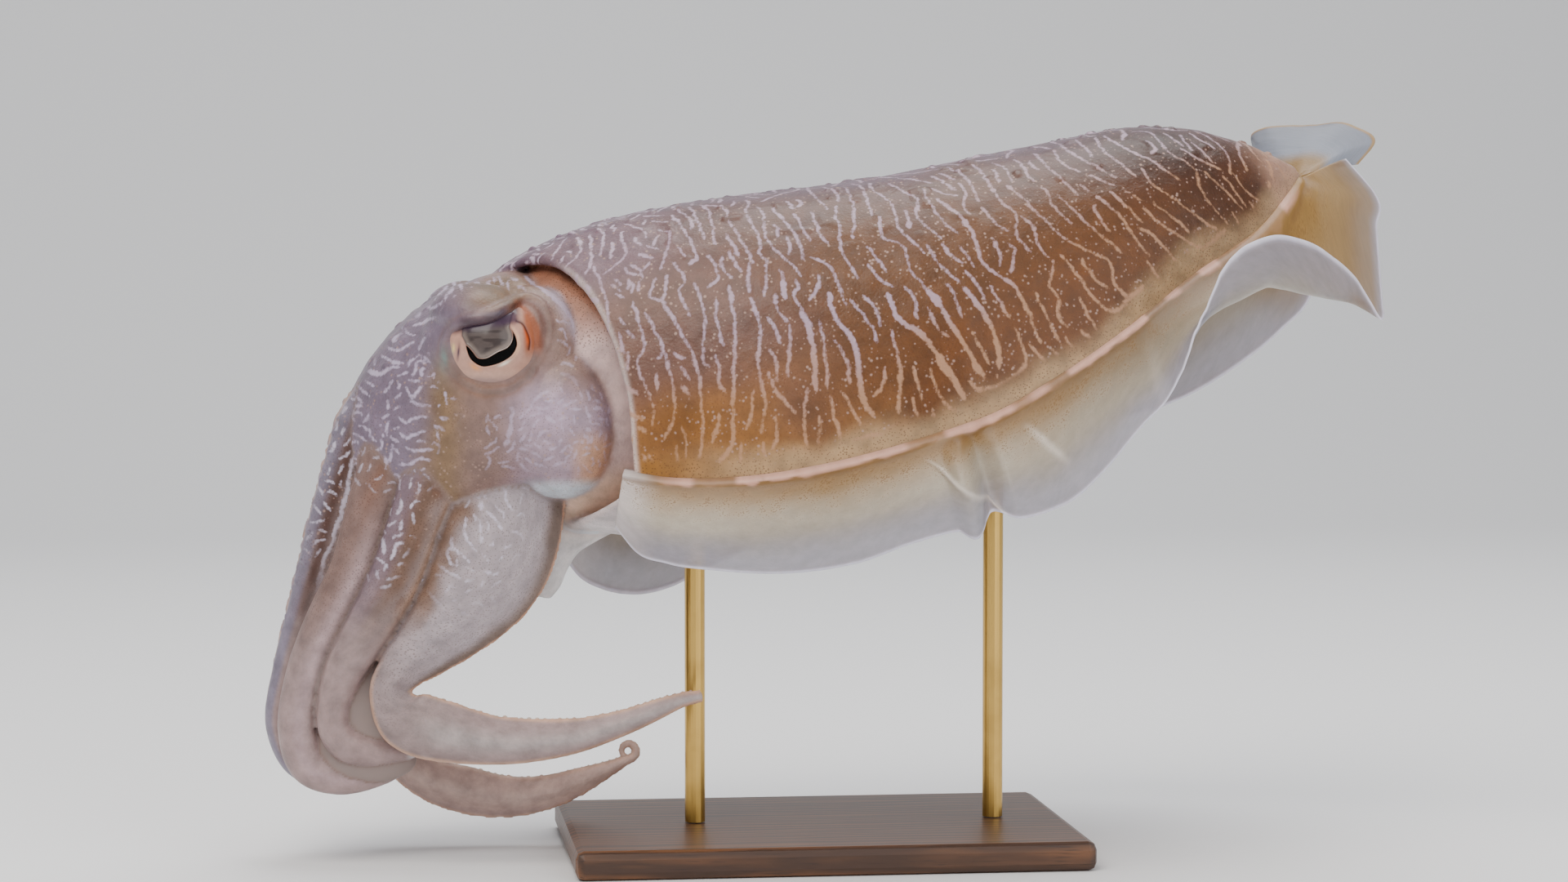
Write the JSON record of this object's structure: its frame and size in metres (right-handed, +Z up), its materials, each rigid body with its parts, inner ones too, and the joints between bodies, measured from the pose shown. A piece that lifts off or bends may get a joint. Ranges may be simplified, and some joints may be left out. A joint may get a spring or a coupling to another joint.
{
  "type": "cuttlefish",
  "caption": "Life-size cuttlefish display model, swimming with arms hanging and bent back and fins rippling, on a flat base with slim upright rods.",
  "frame": {"origin": "centre of the stand base's underside, on the surface it rests on", "axes": "+Z up, +X towards the tail, so the head faces -X and the animal's left side faces -Y"},
  "size_m": [0.2765, 0.1313, 0.1796],
  "materials": {
    "skin_back": "moist mottled brown skin with pale wavy lines",
    "skin_head": "moist mauve-grey skin with a pale network",
    "skin_arms": "moist pinkish grey skin, browner on the outside",
    "skin_fins": "thin translucent skin with a pale edge",
    "skin_neck": "smooth pale skin",
    "eye": "wet gloss with a black curved pupil",
    "base_wood": "oiled walnut",
    "rod_brass": "satin"
  },
  "bodies": {
    "root": {"arm_left_1_lower": "skin_arms", "arm_left_1_tip": "skin_arms", "arm_left_1_upper": "skin_arms", "arm_left_2_lower": "skin_arms", "arm_left_2_tip": "skin_arms", "arm_left_2_upper": "skin_arms", "arm_left_3_lower": "skin_arms", "arm_left_3_tip": "skin_arms", "arm_left_3_upper": "skin_arms", "arm_left_4_lower": "skin_arms", "arm_left_4_tip": "skin_arms", "arm_left_4_upper": "skin_arms", "arm_right_1_lower": "skin_arms", "arm_right_1_tip": "skin_arms", "arm_right_1_upper": "skin_arms", "arm_right_2_lower": "skin_arms", "arm_right_2_tip": "skin_arms", "arm_right_2_upper": "skin_arms", "arm_right_3_lower": "skin_arms", "arm_right_3_tip": "skin_arms", "arm_right_3_upper": "skin_arms", "arm_right_4_lower": "skin_arms", "arm_right_4_tip": "skin_arms", "arm_right_4_upper": "skin_arms", "eye_left": "eye", "eye_right": "eye", "fin_left_front": "skin_fins", "fin_left_middle": "skin_fins", "fin_left_rear": "skin_fins", "fin_right_front": "skin_fins", "fin_right_middle": "skin_fins", "fin_right_rear": "skin_fins", "funnel": "skin_neck", "head": "skin_head", "mantle": "skin_back", "neck": "skin_neck", "stand_base": "base_wood", "stand_rod_front": "rod_brass", "stand_rod_rear": "rod_brass"}
  },
  "joints": []
}
